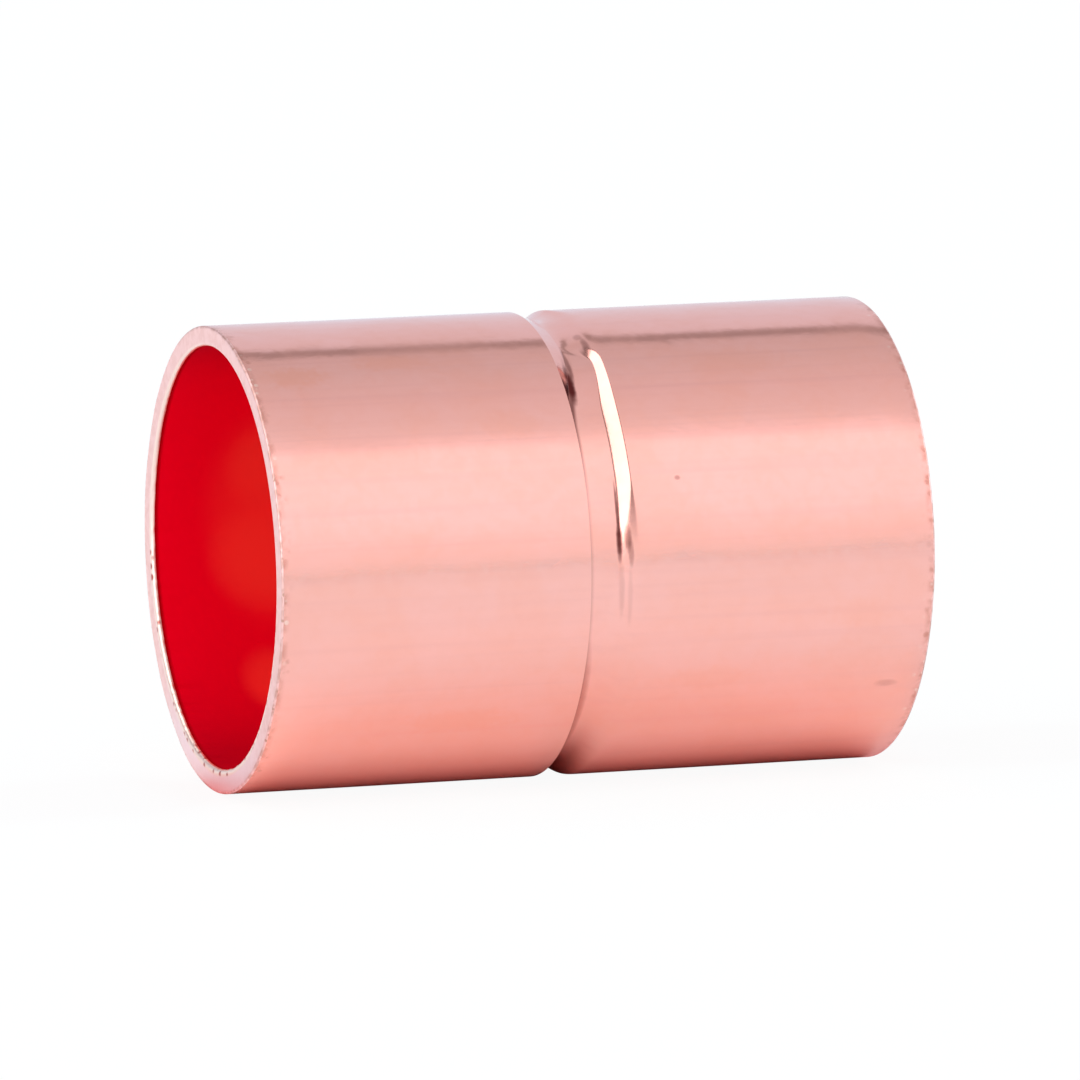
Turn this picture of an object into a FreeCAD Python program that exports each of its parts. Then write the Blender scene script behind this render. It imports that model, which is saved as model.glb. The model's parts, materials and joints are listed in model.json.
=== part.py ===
import FreeCAD, Part
import os

# A straight capillary coupling that joins two lengths of 1/2 in (12.7 mm) copper tube.
# It is one piece of drawn copper tube. A groove rolled round its middle raises a bead inside,
# and each tube is pushed in until it meets that bead. Sizes are in millimetres.
# The axis lies along X, and the origin is on the axis at the middle of the bead.

tube_diameter = 12.70     # outside of the tubes that the coupling joins
solder_gap = 0.05         # between a tube and the socket wall, all round
wall = 0.75               # thickness of the copper
socket_depth = 9.65       # from a mouth to the foot of the bead
bead_half_width = 0.78    # foot of the bead, measured from the middle
bead_crest_half = 0.34    # flat top of the bead, measured from the middle
groove_half_width = 0.70  # shoulders of the outside groove, measured from the middle
groove_floor_half = 0.22  # flat floor of the groove, measured from the middle
groove_depth = 0.48       # the bead stands as far into the bore as the groove is deep
lead_in_depth = 0.14      # how far the eased inner edge of a mouth reaches along the axis
lead_in_width = 0.18      # how much wider than the socket a mouth is, on each side
rim_rounding = 0.07       # outer edge of a mouth
shoulder_rounding = 0.10  # outer edges of the groove
bead_rounding = 0.12      # crest of the bead

socket_radius = tube_diameter / 2 + solder_gap
outer_radius = socket_radius + wall
half_length = socket_depth + bead_half_width
crest_radius = socket_radius - groove_depth
floor_radius = outer_radius - groove_depth


def half_outline():
    """Corners of the wall's section on the +X side, from the groove floor round to the bead."""
    return [
        (groove_floor_half, floor_radius),
        (groove_half_width, outer_radius),
        (half_length, outer_radius),
        (half_length, socket_radius + lead_in_width),
        (half_length - lead_in_depth, socket_radius),
        (bead_half_width, socket_radius),
        (bead_crest_half, crest_radius),
    ]


def turned_wall():
    """The wall's whole section turned once round the X axis."""
    right = half_outline()
    left = [(-x, radius) for x, radius in reversed(right)]
    corners = [FreeCAD.Vector(x, 0, radius) for x, radius in right + left]
    section = Part.Face(Part.makePolygon(corners + corners[:1]))
    return section.revolve(FreeCAD.Vector(0, 0, 0), FreeCAD.Vector(1, 0, 0), 360)


def rings_at(solid, x, radius):
    """The circular edges of this radius that lie at +x and at -x."""
    found = []
    for edge in solid.Edges:
        if not isinstance(edge.Curve, Part.Circle):
            continue
        same_place = abs(abs(edge.Curve.Center.x) - x) < 1e-4
        same_radius = abs(edge.Curve.Radius - radius) < 1e-4
        if same_place and same_radius:
            found.append(edge)
    return found


def coupling_body():
    body = turned_wall()
    body = body.makeFillet(rim_rounding, rings_at(body, half_length, outer_radius))
    body = body.makeFillet(shoulder_rounding, rings_at(body, groove_half_width, outer_radius))
    return body.makeFillet(bead_rounding, rings_at(body, bead_crest_half, crest_radius))


os.makedirs("parts", exist_ok=True)
coupling = coupling_body()
coupling.exportStep("parts/coupling_body.step")
print("coupling_body", round(coupling.Volume, 2), "mm3, valid:", coupling.isValid())
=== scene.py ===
import json
import math

import bpy
import numpy as np
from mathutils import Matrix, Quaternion, Vector


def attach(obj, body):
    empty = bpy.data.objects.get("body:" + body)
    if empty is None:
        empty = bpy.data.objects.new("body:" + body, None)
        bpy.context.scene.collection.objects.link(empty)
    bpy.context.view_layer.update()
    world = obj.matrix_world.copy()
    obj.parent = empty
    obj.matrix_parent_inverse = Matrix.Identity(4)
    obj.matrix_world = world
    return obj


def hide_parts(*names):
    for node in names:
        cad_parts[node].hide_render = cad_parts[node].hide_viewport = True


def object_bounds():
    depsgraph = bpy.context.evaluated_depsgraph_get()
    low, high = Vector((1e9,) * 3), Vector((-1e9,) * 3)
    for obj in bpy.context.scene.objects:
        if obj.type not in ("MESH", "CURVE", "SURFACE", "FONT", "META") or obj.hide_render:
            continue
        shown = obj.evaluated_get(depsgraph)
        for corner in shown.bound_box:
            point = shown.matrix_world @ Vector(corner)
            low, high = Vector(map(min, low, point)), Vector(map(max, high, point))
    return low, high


# A straight copper coupling, lying on a white table inside a studio light tent.
# The axis of the coupling runs along X. The left mouth faces the camera side.

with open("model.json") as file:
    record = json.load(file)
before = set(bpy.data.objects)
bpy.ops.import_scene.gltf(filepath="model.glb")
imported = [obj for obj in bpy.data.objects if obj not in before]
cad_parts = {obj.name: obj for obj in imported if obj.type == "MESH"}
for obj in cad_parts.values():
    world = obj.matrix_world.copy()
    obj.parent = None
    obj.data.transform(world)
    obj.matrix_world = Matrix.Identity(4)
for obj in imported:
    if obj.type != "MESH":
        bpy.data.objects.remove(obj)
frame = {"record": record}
cadLow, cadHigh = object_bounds()
mm = 0.001
outerRadius = cadHigh.z
halfLength = cadHigh.x
socketRadius = frame["record"]["mounts"][0]["dims"]["r_mm"] * mm


def smoothStep(low, high, value):
    t = np.clip((value - low) / (high - low), 0.0, 1.0)
    return t * t * (3.0 - 2.0 * t)


def ripple(rng, angle, waves):
    # a closed random wave round the tube, made of a few whole-number frequencies
    turn = np.radians(angle)
    total = np.zeros_like(turn)
    for count in waves:
        total += rng.normal() * np.sin(count * turn + rng.uniform(0, 2 * math.pi))
    return total / math.sqrt(len(waves))


def splineCurve(controls, samples):
    # a smooth curve through a band of control points, one curve for every angle round the tube
    # controls has the shape (points, angles); the ends are met exactly
    padded = np.concatenate([controls[:1], controls[:1], controls, controls[-1:], controls[-1:]])
    spans = len(padded) - 3
    rows = []
    for place in np.linspace(0.0, spans, samples):
        index = min(int(place), spans - 1)
        t = place - index
        weights = (
            (1 - t) ** 3,
            3 * t ** 3 - 6 * t ** 2 + 4,
            -3 * t ** 3 + 3 * t ** 2 + 3 * t + 1,
            t ** 3,
        )
        rows.append(sum(w * padded[index + k] for k, w in enumerate(weights)) / 6.0)
    return np.array(rows)


def roundedPath(corners, samples):
    # corners are (x, y, ease): the path turns each corner within the ease distance of it
    controls = []
    for index, (x, y, ease) in enumerate(corners):
        if index in (0, len(corners) - 1):
            controls.append((x, y))
            continue
        for neighbour in (index - 1, index + 1):
            awayX, awayY = corners[neighbour][0] - x, corners[neighbour][1] - y
            share = ease / np.hypot(awayX, awayY)
            controls.append((x + awayX * share, y + awayY * share))
        controls.insert(-1, (x, y))
    across = splineCurve(np.array([c[0] for c in controls]), samples)
    down = splineCurve(np.array([c[1] for c in controls]), samples)
    return across, down


coupling = {
    "facesRound": 640,
    "faceStations": 6,
    "lipStations": 7,
    "edgeStations": 5,
    "barrelStations": 9,
    "grooveStations": 62,
    "boreStations": 7,
    "beadStations": 13,
    "lipWidth": 0.15 * mm,        # how much wider than the socket the eased mouth is
    "lipDepth": 0.14 * mm,
    "rimRounding": 0.06 * mm,
    "boreRadius": socketRadius + 0.07 * mm,
    "mouthRise": 0.07 * mm,       # the sockets sit a little high, so the rim is thicker below
    "riseFrom": 0.25 * mm,        # the wall moves up in full as far out from the socket as this
    "riseTo": 0.10 * mm,          # and not at all from this far below the outside
    "barrelSag": 0.005 * mm,      # faint flats left by sizing the sockets
    "sagFrom": 0.30 * mm,
    "sagLength": 7 * mm,
    "sagWaves": (2, 3, 4),
    "sawMarks": 0.012 * mm,
    "sawWaves": (2, 3, 5, 9, 14),
    "sawTeeth": (41, 67, 103),
    "burrHeight": 0.05 * mm,
    "burrTurn": (30.0, 100.0),    # degrees from the front over which the burrs grow
    "burrOnTop": 0.35,            # their size on the upper half, as a share of the lower half's
    "beadHeight": 0.48 * mm,
    "seed": 12,
}

# the rolled groove: a sharp left shoulder, a floor that climbs to the right, and a right wall
# that is crisp on the upper front, narrower over the back, and a long soft slope elsewhere
groove = {
    "leftShoulder": -0.64 * mm,
    "leadIn": 0.35 * mm,          # plain barrel before the left shoulder
    "leftWallRun": 0.045 * mm,
    "openRun": 0.455 * mm,        # how much further the left wall reaches over the top
    "openRise": 0.20 * mm,        # and how much shallower the crease is there
    "openFrom": (38.0, 66.0),     # degrees over which it opens, and over which it closes behind
    "openTo": (150.0, 178.0),
    "creaseDepth": 0.46 * mm,
    "shoulderEase": 0.012 * mm,
    "creaseEase": 0.04 * mm,
    "end": 1.80 * mm,
    # foot and top of the right wall: mm along, mm deep, mm of rounding
    "front": ((0.42, 0.29, 0.05), (0.83, 0.0, 0.05)),
    "upper": ((0.62, 0.19, 0.05), (0.88, 0.0, 0.05)),
    "tip": ((0.39, 0.29, 0.05), (0.84, 0.0, 0.50)),
    "worn": ((0.00, 0.30, 0.28), (0.82, 0.0, 0.36)),
    "under": ((0.02, 0.38, 0.10), (0.56, 0.0, 0.18)),
    "back": ((0.10, 0.40, 0.04), (0.56, 0.0, 0.015)),
}


def grooveShares(angle):
    # how far each shape of the right wall counts at each angle, which runs from -180 to 180
    overTop = smoothStep(84.0, 98.0, angle)
    behind = smoothStep(120.0, 150.0, -angle)
    below = smoothStep(30.0, 65.0, -angle)
    faded = smoothStep(60.0, 69.0, angle)
    upper = smoothStep(42.0, 60.0, angle) * (1.0 - faded)
    low = smoothStep(-8.0, 14.0, -angle)
    tip = smoothStep(-25.0, -11.0, -angle) * (1.0 - low)
    worn = faded * (1.0 - overTop) + low * (1.0 - below)
    under = below * (1.0 - behind)
    back = overTop + behind
    front = 1.0 - upper - tip - worn - under - back
    return {"front": front, "upper": upper, "tip": tip, "worn": worn, "under": under, "back": back}


def grooveCurve(angle):
    shares = grooveShares(angle)
    ones = np.ones_like(angle)
    left = groove["leftShoulder"]
    opened = smoothStep(*groove["openFrom"], angle) * (1.0 - smoothStep(*groove["openTo"], angle))
    crease = left + groove["leftWallRun"] + groove["openRun"] * opened
    foot, edge = [
        tuple(sum(shares[shape] * groove[shape][corner][k] * mm for shape in shares) for k in range(3))
        for corner in (0, 1)
    ]
    corners = (
        (left - groove["leadIn"] * ones, 0.0 * ones, 0.0),
        (left * ones, 0.0 * ones, groove["shoulderEase"] * ones),
        (crease, groove["creaseDepth"] - groove["openRise"] * opened, groove["creaseEase"] * ones),
        foot,
        edge,
        (groove["end"] * ones, 0.0 * ones, 0.0),
    )
    x, depth = roundedPath(corners, coupling["grooveStations"])
    return x, outerRadius - depth


def beadCurve(ones):
    # the inside of the rolled groove, which stops the tubes
    height = coupling["beadHeight"]
    half = ((0.95, 0.0, 0.0), (0.80, 0.0, 0.12), (0.42, 1.0, 0.14))
    whole = half + tuple((-x, share, ease) for x, share, ease in half[::-1])
    corners = [(x * mm * ones, share * height * ones, ease * mm * ones) for x, share, ease in whole]
    x, rise = roundedPath(corners, coupling["beadStations"])
    return x, coupling["boreRadius"] - rise


def straightRun(start, end, stations, radius, ones):
    x = np.linspace(start, end, stations + 2)[1:-1, None] * ones
    return x, radius * np.ones_like(x)


def mouthCurve(side, rng, angle, ones):
    # from the socket, over the eased lip, across the sawn rim and round its outer edge
    turn = np.linspace(0.0, math.pi / 2, coupling["lipStations"])[:, None]
    lipX = halfLength - coupling["lipDepth"] * (1 - np.sin(turn)) * ones
    lipR = coupling["boreRadius"] + coupling["lipWidth"] * (1 - np.cos(turn)) * ones
    size = coupling["burrOnTop"] + (1.0 - coupling["burrOnTop"]) * (angle < 0)
    burrs = rng.random(len(angle)) ** 5 * smoothStep(*coupling["burrTurn"], np.abs(angle)) * size
    burrs = 0.7 * burrs + 0.3 * np.roll(burrs, 1)
    lipR = lipR - coupling["burrHeight"] * burrs * np.sin(2 * turn)
    start = coupling["boreRadius"] + coupling["lipWidth"]
    end = outerRadius - coupling["rimRounding"]
    face = np.linspace(0.0, 1.0, coupling["faceStations"] + 2)[1:-1, None]
    faceX = halfLength * np.ones_like(face) * ones
    faceR = (start + (end - start) * face) * ones
    edge = np.linspace(0.0, math.pi / 2, coupling["edgeStations"])[:, None]
    edgeX = halfLength - coupling["rimRounding"] * (1 - np.cos(edge)) * ones
    edgeR = end + coupling["rimRounding"] * np.sin(edge) * ones
    x = np.concatenate([lipX, faceX, edgeX])
    r = np.concatenate([lipR, faceR, edgeR])
    # the saw leaves a slightly wavy rim, always a little inside the full length
    across = (r - coupling["boreRadius"]) / (outerRadius - coupling["boreRadius"])
    wave = 0.5 * np.abs(ripple(rng, angle, coupling["sawWaves"]))
    wave = wave + 0.25 * np.abs(ripple(rng, angle, coupling["sawTeeth"]))
    x = x - coupling["sawMarks"] * wave * smoothStep(0.05, 0.3, across)
    return side * x, r


def wallSection(rng, angle):
    # stations in order: left lip to left rim, outside to the right rim, then back through the bore
    ones = np.ones_like(angle)[None, :]
    leftX, leftR = mouthCurve(-1.0, rng, angle, ones)
    grooveX, grooveR = grooveCurve(angle)
    rightX, rightR = mouthCurve(1.0, rng, angle, ones)
    beadX, beadR = beadCurve(np.ones_like(angle))
    rimEnd = halfLength - coupling["rimRounding"]
    lipStart = halfLength - coupling["lipDepth"]
    outside, inside = coupling["barrelStations"], coupling["boreStations"]
    pieces = (
        (leftX, leftR, "rim"),
        (*straightRun(-rimEnd, grooveX[0, 0], outside, outerRadius, ones), "skin"),
        (grooveX, grooveR, "skin"),
        (*straightRun(grooveX[-1, 0], rimEnd, outside, outerRadius, ones), "skin"),
        (rightX[::-1], rightR[::-1], "rim"),
        (*straightRun(lipStart, beadX[0, 0], inside, coupling["boreRadius"], ones), "bore"),
        (beadX, beadR, "bore"),
        (*straightRun(beadX[-1, 0], -lipStart, inside, coupling["boreRadius"], ones), "bore"),
    )
    x = np.concatenate([p[0] for p in pieces])
    r = np.concatenate([p[1] for p in pieces])
    zones = [p[2] for p in pieces for _ in range(len(p[0]))]
    return x, r, zones


def buildShell(materials):
    rng = np.random.default_rng(coupling["seed"])
    count = coupling["facesRound"]
    angle = np.linspace(0.0, 360.0, count, endpoint=False)
    angle = (angle + 180.0) % 360.0 - 180.0   # 0 is the front, 90 the top, -90 the underside
    x, r, zones = wallSection(rng, angle)
    outer = smoothStep(socketRadius + coupling["sagFrom"], outerRadius, r)
    sag = np.abs(ripple(rng, angle, coupling["sagWaves"]))[None, :]
    sag = sag * (0.6 + 0.4 * np.sin(x / coupling["sagLength"] + 1.0))
    r = r - outer * coupling["barrelSag"] * sag
    turn = np.radians(angle)[None, :]
    moved, still = socketRadius + coupling["riseFrom"], outerRadius - coupling["riseTo"]
    high = coupling["mouthRise"] * (1.0 - smoothStep(moved, still, r))
    points = np.stack([x, -r * np.cos(turn), r * np.sin(turn) + high], axis=-1)
    stations = len(zones)
    vertices = points.reshape(-1, 3)
    a = np.arange(stations)[:, None] * count + np.arange(count)[None, :]
    b = np.roll(a, -1, axis=0)
    quads = np.stack([a, b, np.roll(b, -1, axis=1), np.roll(a, -1, axis=1)], axis=-1)
    mesh = bpy.data.meshes.new("couplingShell")
    mesh.from_pydata(vertices.tolist(), [], quads.reshape(-1, 4).tolist())
    order = ("skin", "rim", "bore")
    for zone in order:
        mesh.materials.append(materials[zone])
    zoneIndex = []
    for zone, following in zip(zones, zones[1:] + zones[:1]):
        zoneIndex.append(order.index(following if zone == "rim" else zone))
    mesh.polygons.foreach_set("material_index", np.repeat(zoneIndex, count).astype(np.int32))
    mesh.polygons.foreach_set("use_smooth", np.ones(stations * count, bool))
    mesh.update()
    mesh.validate()
    shell = bpy.data.objects.new("couplingShell", mesh)
    bpy.context.scene.collection.objects.link(shell)
    print("couplingShell:", stations, "stations,", len(mesh.polygons), "faces")
    return shell


def addNode(tree, kind, inputs=None, **settings):
    # inputs maps a socket name or number to a value, or to another node's output socket
    node = tree.nodes.new(kind)
    for name, value in settings.items():
        setattr(node, name, value)
    for key, value in (inputs or {}).items():
        if isinstance(value, bpy.types.NodeSocket):
            tree.links.new(value, node.inputs[key])
        else:
            node.inputs[key].default_value = value
    return node


def maths(tree, operation, *values):
    return addNode(tree, "ShaderNodeMath", dict(enumerate(values)), operation=operation).outputs[0]


def fade(tree, value, start, end, low=0.0, high=1.0):
    # low up to start, high beyond end, and a smooth change between them
    ranges = {"Value": value, "From Min": start, "From Max": end, "To Min": low, "To Max": high}
    return addNode(tree, "ShaderNodeMapRange", ranges, interpolation_type="SMOOTHSTEP").outputs[0]


def blend(tree, share, first, second):
    first = first if isinstance(first, bpy.types.NodeSocket) else (*first, 1)
    second = second if isinstance(second, bpy.types.NodeSocket) else (*second, 1)
    return addNode(tree, "ShaderNodeMix", {0: share, 6: first, 7: second}, data_type="RGBA").outputs[2]


def startGroup(name, inputs, outputs):
    tree = bpy.data.node_groups.new(name, "ShaderNodeTree")
    for socket in inputs:
        tree.interface.new_socket(name=socket, in_out="INPUT", socket_type="NodeSocketFloat")
    for socket in outputs:
        tree.interface.new_socket(name=socket, in_out="OUTPUT", socket_type="NodeSocketFloat")
    return tree, tree.nodes.new("NodeGroupInput").outputs, tree.nodes.new("NodeGroupOutput").inputs


def placeGroup(tree, group, inputs=None):
    node = tree.nodes.new("ShaderNodeGroup")
    node.node_tree = group
    for key, value in (inputs or {}).items():
        if isinstance(value, bpy.types.NodeSocket):
            tree.links.new(value, node.inputs[key])
        else:
            node.inputs[key].default_value = value
    return node.outputs


def makeTubePlace():
    # where a point of the surface is: mm along the axis, degrees round it, mm below the outside
    tree, _, out = startGroup("tubePlace", (), ("Along", "Turn", "Depth"))
    place = addNode(tree, "ShaderNodeTexCoord").outputs["Object"]
    parts = addNode(tree, "ShaderNodeSeparateXYZ", {0: place}).outputs
    forward = maths(tree, "MULTIPLY", parts["Y"], -1.0)
    turn = maths(tree, "MULTIPLY", maths(tree, "ARCTAN2", parts["Z"], forward), 180.0 / math.pi)
    across = addNode(tree, "ShaderNodeCombineXYZ", {1: parts["Y"], 2: parts["Z"]}).outputs[0]
    radius = addNode(tree, "ShaderNodeVectorMath", {0: across}, operation="LENGTH").outputs["Value"]
    depth = maths(tree, "SUBTRACT", outerRadius, radius)
    tree.links.new(maths(tree, "MULTIPLY", parts["X"], 1.0 / mm), out["Along"])
    tree.links.new(turn, out["Turn"])
    tree.links.new(maths(tree, "MULTIPLY", depth, 1.0 / mm), out["Depth"])
    return tree


def makeStreaks():
    # grain stretched along the axis; sizes in mm
    tree, given, out = startGroup("drawnStreaks", ("Length", "Width"), ("Streak",))
    place = addNode(tree, "ShaderNodeTexCoord").outputs["Object"]
    along = maths(tree, "DIVIDE", 1.0 / mm, given["Length"])
    across = maths(tree, "DIVIDE", 1.0 / mm, given["Width"])
    scale = addNode(tree, "ShaderNodeCombineXYZ", {0: along, 1: across, 2: across}).outputs[0]
    product = addNode(tree, "ShaderNodeVectorMath", {0: place, 1: scale}, operation="MULTIPLY")
    stretched = product.outputs[0]
    grain = {"Vector": stretched, "Scale": 1.0, "Detail": 3.0, "Roughness": 0.6}
    noise = addNode(tree, "ShaderNodeTexNoise", grain)
    tree.links.new(noise.outputs[0], out["Streak"])
    return tree


def makeMottle():
    # soft patches of one size, and small sharp flecks scattered over them; sizes in mm
    wanted = ("Patch Size", "Fleck Size", "Fleck Share")
    tree, given, out = startGroup("mottle", wanted, ("Patch", "Fleck"))
    place = addNode(tree, "ShaderNodeTexCoord").outputs["Object"]
    patchScale = maths(tree, "DIVIDE", 1.0 / mm, given["Patch Size"])
    fleckScale = maths(tree, "DIVIDE", 1.0 / mm, given["Fleck Size"])
    cloud = {"Vector": place, "Scale": patchScale, "Detail": 2.5, "Distortion": 0.4}
    noise = addNode(tree, "ShaderNodeTexNoise", cloud)
    cells = addNode(tree, "ShaderNodeTexVoronoi", {"Vector": place, "Scale": fleckScale})
    chance = addNode(tree, "ShaderNodeSeparateColor", {0: cells.outputs["Color"]}).outputs[0]
    chosen = maths(tree, "LESS_THAN", chance, given["Fleck Share"])
    spot = fade(tree, cells.outputs["Distance"], 0.18, 0.42, 1.0, 0.0)
    tree.links.new(fade(tree, noise.outputs[0], 0.38, 0.66), out["Patch"])
    tree.links.new(maths(tree, "MULTIPLY", chosen, spot), out["Fleck"])
    return tree


def makeStain(tubePlace):
    # one soft-edged mark, placed by mm along the axis and degrees round it
    wanted = ("Along", "Turn", "Half Length", "Half Turn", "Ragged")
    tree, given, out = startGroup("stain", wanted, ("Mask",))
    place = placeGroup(tree, tubePlace)
    along = maths(tree, "SUBTRACT", place["Along"], given["Along"])
    along = maths(tree, "DIVIDE", along, given["Half Length"])
    turned = maths(tree, "WRAP", maths(tree, "SUBTRACT", place["Turn"], given["Turn"]), 180.0, -180.0)
    turned = maths(tree, "DIVIDE", turned, given["Half Turn"])
    noise = addNode(tree, "ShaderNodeTexNoise", {"Scale": 5.0 / mm, "Detail": 2.0})
    tree.links.new(addNode(tree, "ShaderNodeTexCoord").outputs["Object"], noise.inputs["Vector"])
    squares = maths(tree, "ADD", maths(tree, "POWER", along, 2.0), maths(tree, "POWER", turned, 2.0))
    wander = maths(tree, "MULTIPLY", maths(tree, "SUBTRACT", noise.outputs[0], 0.5), given["Ragged"])
    tree.links.new(fade(tree, maths(tree, "ADD", squares, wander), 0.0, 1.0, 1.0, 0.0), out["Mask"])
    return tree


groups = {"place": makeTubePlace(), "streaks": makeStreaks(), "mottle": makeMottle()}
groups["stain"] = makeStain(groups["place"])
print("node groups:", ", ".join(groups))


def startMaterial(name, metallic=1.0):
    material = bpy.data.materials.new(name)
    material.use_nodes = True
    shader = material.node_tree.nodes["Principled BSDF"]
    shader.inputs["Metallic"].default_value = metallic
    return material, material.node_tree, shader


def addBump(tree, shader, distance, height):
    bump = addNode(tree, "ShaderNodeBump", {"Strength": 1.0, "Distance": distance, "Height": height})
    tree.links.new(bump.outputs[0], shader.inputs["Normal"])


def paintStains(tree, colour, stains, paint, ragged):
    sockets = ("Along", "Turn", "Half Length", "Half Turn")
    for *spot, strength in stains:
        mask = placeGroup(tree, groups["stain"], {**dict(zip(sockets, spot)), "Ragged": ragged})["Mask"]
        colour = blend(tree, maths(tree, "MULTIPLY", mask, strength), colour, paint)
    return colour


skin = {
    "copper": (0.97, 0.475, 0.41),
    "warm": (0.96, 0.42, 0.32),
    "drawn": (0.91, 0.43, 0.375),
    # a dark colour, used for real specks and for painted shade in the groove
    "darkSpeckAndShade": (0.12, 0.02, 0.018),
    "shade": (0.42, 0.10, 0.08),
    "edgeBrown": (0.66, 0.27, 0.21),
    "edgeGlint": (1.0, 0.70, 0.60),
    "roughness": (0.11, 0.17),
    "dieLines": {"Length": 30.0, "Width": 0.35},     # mm
    "fineLines": {"Length": 9.0, "Width": 0.07},
    "broadPatch": 2.6,
    "smallPatch": 0.45,
    "smallShare": 0.35,           # of the small patches in the mix of the two
    "warmShare": 0.45,
    "drawnShare": 0.5,
    "bumpHeight": 0.0012 * mm,
    "edgeBand": 0.44,             # mm of handling marks and painted glints beside each rim
    "edgeTarnish": 0.30,          # mm of uneven brown at the very edge
    "knocks": {"Fleck Size": 0.30, "Fleck Share": 0.6},
    "glintFlecks": {"Fleck Size": 0.24, "Fleck Share": 0.35},
    # marks, mostly painted shade and dark reflections in the groove, the last two real specks: mm
    # along, degrees round, half length in mm, half width in degrees, strength
    "marks": (
        (-0.30, 53.0, 0.17, 7.5, 1.0),
        (-0.14, 61.0, 0.09, 8.0, 0.5),
        (0.63, 66.5, 0.13, 4.5, 0.5),
        (0.54, 71.0, 0.16, 1.8, 0.3),
        (0.36, 17.0, 0.06, 8.5, 0.8),
        (0.37, 9.0, 0.11, 6.5, 0.95),
        (0.61, 9.6, 0.13, 4.2, 0.6),
        (0.68, 6.0, 0.10, 4.5, 0.4),
        (0.40, -3.0, 0.11, 9.0, 0.16),
        (0.64, -5.0, 0.09, 9.0, 0.10),
        (2.30, 23.7, 0.12, 0.8, 0.4),
        (9.25, -32.9, 0.45, 1.4, 0.2),
    ),
    # soft dark red shading low in the groove
    "shades": (
        (-0.44, -46.0, 0.24, 32.0, 0.6),
        (-0.25, -76.0, 0.50, 12.0, 0.4),
    ),
    "blotches": (
        (-8.9, 58.0, 1.3, 5.0, 0.8),
        (-5.8, 62.0, 1.5, 4.0, 0.6),
        (-2.6, 40.0, 1.2, 5.0, 0.4),
        (5.0, 57.0, 2.2, 6.0, 0.4),
        (-4.4, -38.0, 2.4, 5.0, 0.5),
        (3.4, -28.0, 1.8, 4.0, 0.4),
        (8.0, -12.0, 1.4, 5.0, 0.4),
    ),
    "creaseFrom": 0.08,           # mm from the crease: its painted shade is full up to here
    "creaseTo": 0.22,
    "creaseDepth": (0.02, 0.20),  # mm below the outside over which it comes in
    "creaseOxide": 0.8,
    "frontShade": 0.3,            # the share of it that is left at the front
}


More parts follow.
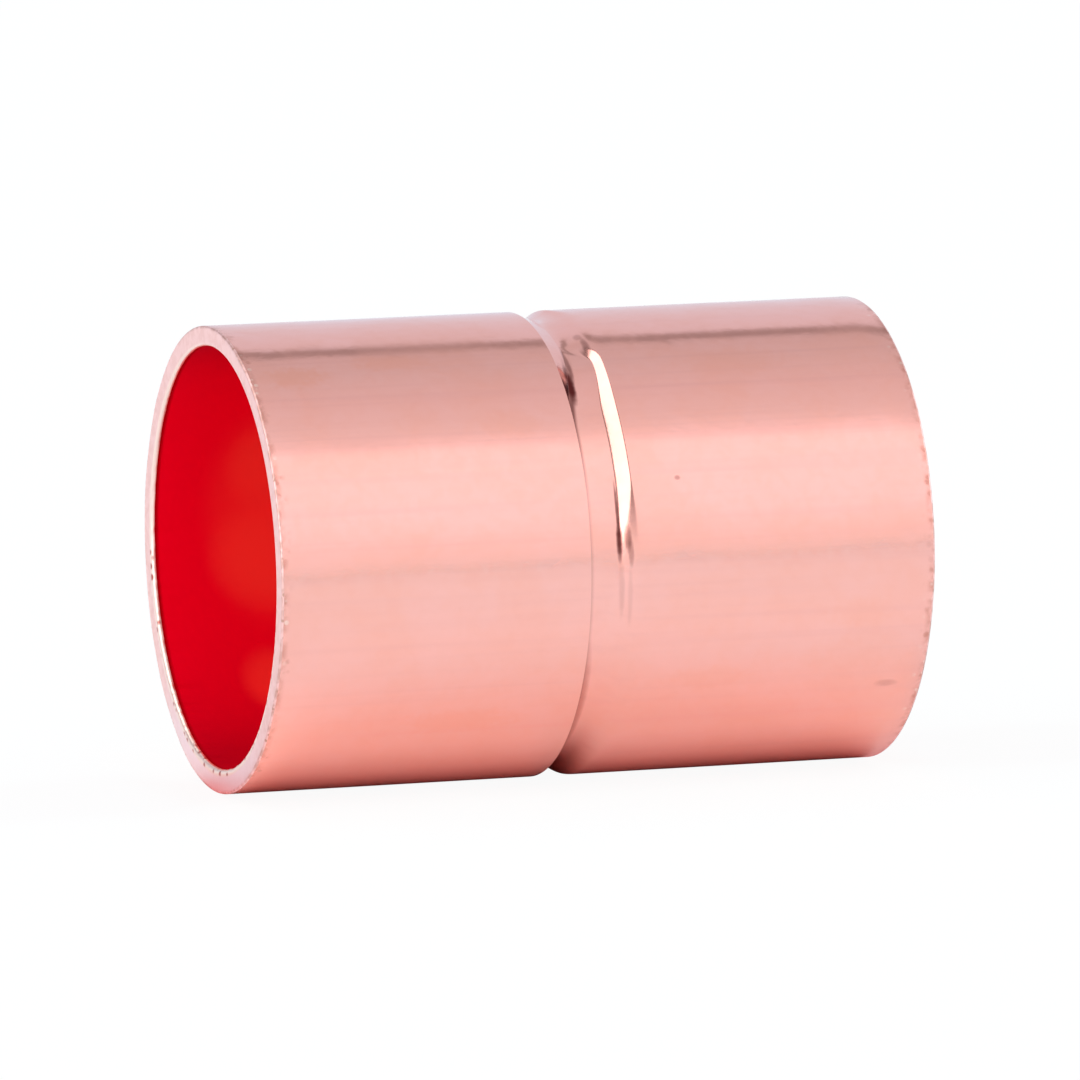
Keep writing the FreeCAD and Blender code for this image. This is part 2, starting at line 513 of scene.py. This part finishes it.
def makeSkin():
    material, tree, shader = startMaterial("drawnCopper")
    place = placeGroup(tree, groups["place"])
    streak = placeGroup(tree, groups["streaks"], skin["dieLines"])["Streak"]
    fine = placeGroup(tree, groups["streaks"], skin["fineLines"])["Streak"]
    broad = placeGroup(tree, groups["mottle"], {"Patch Size": skin["broadPatch"]})["Patch"]
    small = placeGroup(tree, groups["mottle"], {"Patch Size": skin["smallPatch"]})["Patch"]
    patches = maths(tree, "MULTIPLY", broad, 1.0 - skin["smallShare"])
    patches = maths(tree, "MULTIPLY_ADD", small, skin["smallShare"], patches)
    warmed = maths(tree, "MULTIPLY", patches, skin["warmShare"])
    colour = blend(tree, warmed, skin["copper"], skin["warm"])
    colour = blend(tree, fade(tree, streak, 0.45, 0.75, 0.0, skin["drawnShare"]), colour, skin["drawn"])
    colour = paintStains(tree, colour, skin["blotches"], skin["warm"], 1.2)
    colour = paintStains(tree, colour, skin["shades"], skin["shade"], 0.2)
    # painted shade and dark reflections in the groove, and two real specks
    colour = paintStains(tree, colour, skin["marks"], skin["darkSpeckAndShade"], 0.45)
    # painted shade: the crease of the groove is darkened, less at the front, where its shadow and dark
    # reflection fall
    deep = fade(tree, place["Depth"], *skin["creaseDepth"])
    opened = fade(tree, place["Turn"], *groove["openFrom"])
    opened = maths(tree, "MULTIPLY", opened, fade(tree, place["Turn"], *groove["openTo"], 1.0, 0.0))
    start = (groove["leftShoulder"] + groove["leftWallRun"]) / mm
    creaseAt = maths(tree, "MULTIPLY_ADD", opened, groove["openRun"] / mm, start)
    away = maths(tree, "ABSOLUTE", maths(tree, "SUBTRACT", place["Along"], creaseAt))
    nearCrease = fade(tree, away, skin["creaseFrom"], skin["creaseTo"], skin["creaseOxide"], 0.0)
    closed = maths(tree, "SUBTRACT", 1.0, maths(tree, "POWER", opened, 3.0))
    nearCrease = maths(tree, "MULTIPLY", nearCrease, closed)
    facing = maths(tree, "COSINE", maths(tree, "MULTIPLY", place["Turn"], math.pi / 180.0))
    crease = maths(tree, "MULTIPLY", deep, nearCrease)
    crease = maths(tree, "MULTIPLY", crease, fade(tree, facing, 0.75, 0.97, 1.0, skin["frontShade"]))
    colour = blend(tree, crease, colour, skin["darkSpeckAndShade"])
    fromEnd = maths(tree, "SUBTRACT", halfLength / mm, maths(tree, "ABSOLUTE", place["Along"]))
    ends = fade(tree, fromEnd, 0.1, skin["edgeBand"], 1.0, 0.0)
    knocks = placeGroup(tree, groups["mottle"], skin["knocks"])["Fleck"]
    knocks = maths(tree, "MULTIPLY", knocks, maths(tree, "MAXIMUM", small, 0.3))
    worn = maths(tree, "MULTIPLY", ends, knocks)
    tarnish = fade(tree, fromEnd, 0.05, skin["edgeTarnish"], 0.7, 0.0)
    colour = blend(tree, maths(tree, "MULTIPLY", tarnish, small), colour, skin["edgeBrown"])
    colour = blend(tree, maths(tree, "MULTIPLY", worn, 0.9), colour, skin["edgeBrown"])
    # painted highlights: pale flecks beside the rims stand in for glints
    glintFlecks = placeGroup(tree, groups["mottle"], skin["glintFlecks"])["Fleck"]
    glintFlecks = maths(tree, "MULTIPLY", glintFlecks, broad)
    colour = blend(tree, maths(tree, "MULTIPLY", ends, glintFlecks), colour, skin["edgeGlint"])
    tree.links.new(colour, shader.inputs["Base Color"])
    smooth, rough = skin["roughness"]
    dull = fade(tree, maths(tree, "MAXIMUM", patches, worn), 0.0, 1.0, smooth, rough)
    tree.links.new(dull, shader.inputs["Roughness"])
    grain = maths(tree, "MULTIPLY_ADD", fine, 0.3, streak)
    dents = maths(tree, "MULTIPLY_ADD", small, 0.7, maths(tree, "MULTIPLY", broad, 4.0))
    height = maths(tree, "ADD", maths(tree, "ADD", grain, dents), maths(tree, "MULTIPLY", worn, -0.8))
    addBump(tree, shader, skin["bumpHeight"], height)
    return material


rim = {
    "sawn": (0.96, 0.58, 0.54),
    "paintedBottomLight": (1.0, 0.78, 0.80),    # painted light: the lowest part of the rim is painted paler
    # painted highlight: the eased lip is painted a pale cream
    "lip": (1.0, 0.74, 0.64),
    "scored": (0.88, 0.49, 0.44),
    "brown": (0.62, 0.32, 0.25),
    "nick": (0.50, 0.10, 0.08),
    "patches": {"Patch Size": 0.30, "Fleck Size": 0.20, "Fleck Share": 0.40},     # mm
    "nicks": {"Fleck Size": 0.34, "Fleck Share": 0.55},
    "paintedBottomLightHeight": (-0.98, -0.60),     # -1 is the lowest point of the rim, 1 the highest
    "nickHeight": (-0.05, 0.20),
    "brownDepth": (0.03, 0.12),       # mm below the outside
    "nickDepth": (0.52, 0.60),
    "lipDepth": (0.50, 0.60),
    "sawLean": 24.0,                  # degrees
    "sawStretch": (1, 12, 1.6),
    "sawScale": 0.7 / mm,
    "sawHeight": 0.006 * mm,
    "roughness": 0.38,
}


def makeRim():
    material, tree, shader = startMaterial("sawnCopper")
    place = placeGroup(tree, groups["place"])
    marks = placeGroup(tree, groups["mottle"], rim["patches"])
    spread = {"Rotation": (math.radians(rim["sawLean"]), 0, 0), "Scale": rim["sawStretch"]}
    turned = addNode(tree, "ShaderNodeMapping", spread)
    tree.links.new(addNode(tree, "ShaderNodeTexCoord").outputs["Object"], turned.inputs[0])
    grain = {"Vector": turned.outputs[0], "Scale": rim["sawScale"], "Detail": 4.0}
    saw = addNode(tree, "ShaderNodeTexNoise", grain).outputs[0]
    colour = blend(tree, maths(tree, "MULTIPLY", marks["Patch"], 0.7), rim["sawn"], rim["scored"])
    height = maths(tree, "SINE", maths(tree, "MULTIPLY", place["Turn"], math.pi / 180.0))
    # painted light: the rim is lighter towards its lowest point
    colour = blend(tree, fade(tree, height, *rim["paintedBottomLightHeight"], 0.8, 0.0), colour, rim["paintedBottomLight"])
    # painted highlight on the eased lip
    colour = blend(tree, fade(tree, place["Depth"], *rim["lipDepth"]), colour, rim["lip"])
    outer = fade(tree, place["Depth"], *rim["brownDepth"], 1.0, 0.0)
    knocked = maths(tree, "MAXIMUM", marks["Fleck"], maths(tree, "MULTIPLY", marks["Patch"], 0.6))
    colour = blend(tree, maths(tree, "MULTIPLY", outer, knocked), colour, rim["brown"])
    # the cutter left the lower half of the lip broken up
    broken = fade(tree, place["Depth"], *rim["nickDepth"])
    broken = maths(tree, "MULTIPLY", broken, fade(tree, height, *rim["nickHeight"], 1.0, 0.0))
    nicks = placeGroup(tree, groups["mottle"], rim["nicks"])["Fleck"]
    colour = blend(tree, maths(tree, "MULTIPLY", broken, nicks), colour, rim["nick"])
    tree.links.new(colour, shader.inputs["Base Color"])
    shader.inputs["Roughness"].default_value = rim["roughness"]
    addBump(tree, shader, rim["sawHeight"], saw)
    return material


bore = {
    "lit": (0.90, 0.0, 0.017),
    "dim": (0.50, 0.0, 0.013),
    "warm": (1.0, 0.036, 0.028),
    "inner": 0.06,                # painted glow: the bore emits its own colour, in place of the light that the red walls pass on to each other
    "shadow": (0.34, 0.0, 0.002),
    "roughness": 0.5,
    "metallic": 0.4,
    "shadowBand": (0.16, 0.02),   # mm behind the lip
    "dieLines": {"Length": 12.0, "Width": 0.25},
    "bumpHeight": 0.002 * mm,
    # warm patches: mm along, degrees round, half length in mm, half width in degrees, strength
    "patches": (
        (-6.5, 176.0, 2.6, 38.0, 0.5),
        (-6.7, 163.0, 1.6, 16.0, 0.8),
        (-6.6, -171.0, 2.3, 18.0, 0.9),
        (-7.0, -134.0, 1.3, 13.0, 0.8),
    ),
}


def makeBore():
    material, tree, shader = startMaterial("boreCopper", bore["metallic"])
    place = placeGroup(tree, groups["place"])
    inside = maths(tree, "ABSOLUTE", place["Along"])
    facing = maths(tree, "COSINE", maths(tree, "MULTIPLY", place["Turn"], math.pi / 180.0))
    sideways = maths(tree, "ABSOLUTE", facing)
    colour = blend(tree, fade(tree, sideways, 0.1, 0.95), bore["dim"], bore["lit"])
    colour = paintStains(tree, colour, bore["patches"], bore["warm"], 0.15)
    lipEdge = (halfLength - coupling["lipDepth"]) / mm
    far, near = bore["shadowBand"]
    behindLip = fade(tree, inside, lipEdge - far, lipEdge - near, 0.0, 0.9)
    colour = blend(tree, behindLip, colour, bore["shadow"])
    tree.links.new(colour, shader.inputs["Base Color"])
    # painted glow: the bore's colour is also its emission
    tree.links.new(colour, shader.inputs["Emission Color"])
    shader.inputs["Emission Strength"].default_value = bore["inner"]
    shader.inputs["Roughness"].default_value = bore["roughness"]
    shader.inputs["Specular IOR Level"].default_value = 0.0
    streak = placeGroup(tree, groups["streaks"], bore["dieLines"])["Streak"]
    addBump(tree, shader, bore["bumpHeight"], streak)
    return material


finishes = {"skin": makeSkin(), "rim": makeRim(), "bore": makeBore()}
print("finishes:", ", ".join(finishes))
shell = buildShell(finishes)
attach(shell, "root")
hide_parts("coupling_body")


table = {
    "size": 4.0,
    "white": (0.83, 0.816, 0.848),
    "copperBleed": (1.0, 0.80, 0.76),         # painted reflected light: the table is painted pink where the copper throws its colour on it
    "copperBleedFrom": 0.40,                  # these are in outer radii from the axis
    "copperBleedTo": 1.60,
    "contactShadow": (0.78, 0.25, 0.23),      # painted shadow: the dark red strip right under the tube
    "contactShadowFrom": 0.06,
    "contactShadowTo": 0.42,
    "endFade": (0.95, 1.25),            # in half lengths: past the mouths the table is plain white
    "sideGlow": (0.10, 0.20, 0.20),         # painted glow: the table emits a faint light away from the tube
    "sideGlowFrom": 0.30,
    "sideGlowTo": 0.65,
    "shadowShare": 0.06,                # how much of the shadow the camera sees
    "roughness": 0.9,
    "specular": 0.1,
}


def pointAt(thing, target):
    thing.rotation_mode = "QUATERNION"
    thing.rotation_quaternion = (Vector(target) - thing.location).to_track_quat("-Z", "Y")


def makeTableTop():
    material, tree, shader = startMaterial("whiteTable", 0.0)
    place = addNode(tree, "ShaderNodeTexCoord").outputs["Object"]
    parts = addNode(tree, "ShaderNodeSeparateXYZ", {0: place}).outputs
    across = maths(tree, "DIVIDE", maths(tree, "ABSOLUTE", parts["Y"]), outerRadius)
    beyond = maths(tree, "DIVIDE", maths(tree, "ABSOLUTE", parts["X"]), halfLength)
    beside = fade(tree, beyond, *table["endFade"])
    far = maths(tree, "MAXIMUM", beside, fade(tree, across, table["copperBleedFrom"], table["copperBleedTo"]))
    colour = blend(tree, far, table["copperBleed"], table["white"])
    clear = maths(tree, "MAXIMUM", beside, fade(tree, across, table["contactShadowFrom"], table["contactShadowTo"]))
    tree.links.new(blend(tree, clear, table["contactShadow"], colour), shader.inputs["Base Color"])
    glowing = fade(tree, across, table["sideGlowFrom"], table["sideGlowTo"])
    tree.links.new(blend(tree, glowing, (0, 0, 0), table["sideGlow"]), shader.inputs["Emission Color"])
    shader.inputs["Emission Strength"].default_value = 1.0
    shader.inputs["Roughness"].default_value = table["roughness"]
    shader.inputs["Specular IOR Level"].default_value = table["specular"]
    glow = addNode(tree, "ShaderNodeEmission", {"Color": (1, 1, 1, 1), "Strength": 1.0})
    seen = addNode(tree, "ShaderNodeLightPath").outputs["Is Camera Ray"]
    share = maths(tree, "MULTIPLY", seen, 1.0 - table["shadowShare"])
    mix = addNode(tree, "ShaderNodeMixShader", {0: share, 1: shader.outputs[0], 2: glow.outputs[0]})
    tree.links.new(mix.outputs[0], tree.nodes["Material Output"].inputs["Surface"])
    return material


def buildTable():
    half = table["size"] / 2
    low = -outerRadius
    mesh = bpy.data.meshes.new("studioTable")
    corners = [(-half, -half, low), (half, -half, low), (half, half, low), (-half, half, low)]
    mesh.from_pydata(corners, [], [(0, 1, 2, 3)])
    top = bpy.data.objects.new("studioTable", mesh)
    bpy.context.scene.collection.objects.link(top)
    mesh.materials.append(makeTableTop())


def softbox(name, direction, distance, width, height, radiance, lean=0.0):
    # radiance is the brightness that a mirror facing it would show; lean turns it about its own axis
    light = bpy.data.lights.new(name, "AREA")
    light.shape = "RECTANGLE"
    light.size = width
    light.size_y = height
    light.energy = radiance * math.pi * width * height
    lamp = bpy.data.objects.new(name, light)
    lamp.location = Vector(direction).normalized() * distance
    pointAt(lamp, (0, 0, 0))
    lamp.rotation_quaternion = lamp.rotation_quaternion @ Quaternion((0, 0, 1), math.radians(lean))
    lamp.visible_camera = False
    bpy.context.scene.collection.objects.link(lamp)


# light from all round, by how many degrees up from the front it comes: 90 is overhead, 180 the back
tentLight = (
    (0.0, (0.98, 1.05, 1.10)),
    (10.0, (1.08, 1.13, 1.18)),
    (24.0, (1.20, 1.26, 1.35)),
    (56.0, (1.24, 1.30, 1.37)),
    (65.0, (0.95, 1.00, 1.05)),
    (70.0, (0.86, 0.915, 0.965)),
    (88.0, (0.77, 0.80, 0.85)),
    (108.0, (0.67, 0.725, 0.78)),
    (122.0, (0.64, 0.675, 0.72)),
    (134.0, (0.76, 0.84, 0.945)),
    (180.0, (0.77, 0.84, 0.965)),
)
# the upper left of the tent is dim, apart from its softbox
tentDim = {"share": 0.7, "left": (-0.26, -0.10), "up": (0.10, 0.40), "colour": (0.10, 0.08, 0.08)}
# a narrow dark gap between the overhead light and the backdrop, open only to the right
tentGap = {"centre": 127.2, "halfWidth": 1.3, "fadeWidth": 5.5, "colour": (0.38, 0.38, 0.395)}


def buildTent():
    world = bpy.data.worlds.new("lightTent")
    bpy.context.scene.world = world
    world.use_nodes = True
    tree = world.node_tree
    place = addNode(tree, "ShaderNodeTexCoord").outputs["Generated"]
    parts = addNode(tree, "ShaderNodeSeparateXYZ", {0: place}).outputs
    forward = maths(tree, "MULTIPLY", parts["Y"], -1.0)
    share = maths(tree, "DIVIDE", maths(tree, "ARCTAN2", parts["Z"], forward), math.pi)
    ramp = addNode(tree, "ShaderNodeValToRGB", {0: share})
    elements = ramp.color_ramp.elements
    while len(elements) < len(tentLight):
        elements.new(1.0)
    for element, (degrees, _) in zip(elements, tentLight):
        element.position = degrees / 180.0
    for element, (_, colour) in zip(elements, tentLight):
        element.color = (*colour, 1)
    away = maths(tree, "ABSOLUTE", maths(tree, "MULTIPLY_ADD", share, 180.0, -tentGap["centre"]))
    gap = fade(tree, away, tentGap["halfWidth"], tentGap["fadeWidth"], 1.0, 0.0)
    gap = maths(tree, "MULTIPLY", gap, fade(tree, parts["X"], 0.02, 0.12))
    light = blend(tree, gap, ramp.outputs[0], tentGap["colour"])
    left = fade(tree, parts["X"], *tentDim["left"], tentDim["share"], 0.0)
    dim = maths(tree, "MULTIPLY", left, fade(tree, parts["Z"], *tentDim["up"]))
    light = blend(tree, dim, light, tentDim["colour"])
    seen = addNode(tree, "ShaderNodeLightPath").outputs["Is Camera Ray"]
    tree.links.new(blend(tree, seen, light, (1, 1, 1)), tree.nodes["Background"].inputs["Color"])


camera = {
    "azimuth": -18.56,       # degrees round from straight in front, towards the left mouth
    "elevation": 8.92,
    "distance": 54.967,      # in outer radii
    "slideRight": 0.01576,
    "slideUp": 0.01384,
    "lens": 426.3,
}


def placeCamera():
    azimuth, elevation = math.radians(camera["azimuth"]), math.radians(camera["elevation"])
    level = math.cos(elevation)
    back = Vector((math.sin(azimuth) * level, -math.cos(azimuth) * level, math.sin(elevation)))
    right = Vector((math.cos(azimuth), math.sin(azimuth), 0))
    up = back.cross(right)
    data = bpy.data.cameras.new("studioCamera")
    data.lens = camera["lens"]
    data.sensor_width = 36
    data.clip_start, data.clip_end = 0.01, 10
    body = bpy.data.objects.new("studioCamera", data)
    stand = back * camera["distance"] + right * camera["slideRight"] + up * camera["slideUp"]
    body.location = stand * outerRadius
    body.rotation_mode = "QUATERNION"
    body.rotation_quaternion = (-back).to_track_quat("-Z", "Y")
    bpy.context.scene.collection.objects.link(body)
    bpy.context.scene.camera = body


buildTable()
buildTent()
softbox("leftSoftbox", (-0.785, -0.126, 0.607), 0.6, 1.2, 0.42, 2.1, lean=-42)
softbox("rightSoftbox", (0.90, -0.05, 0.42), 0.6, 0.55, 0.30, 1.0)
placeCamera()
bpy.context.scene.view_settings.view_transform = "Standard"
print("studio: table, tent, two softboxes, camera")
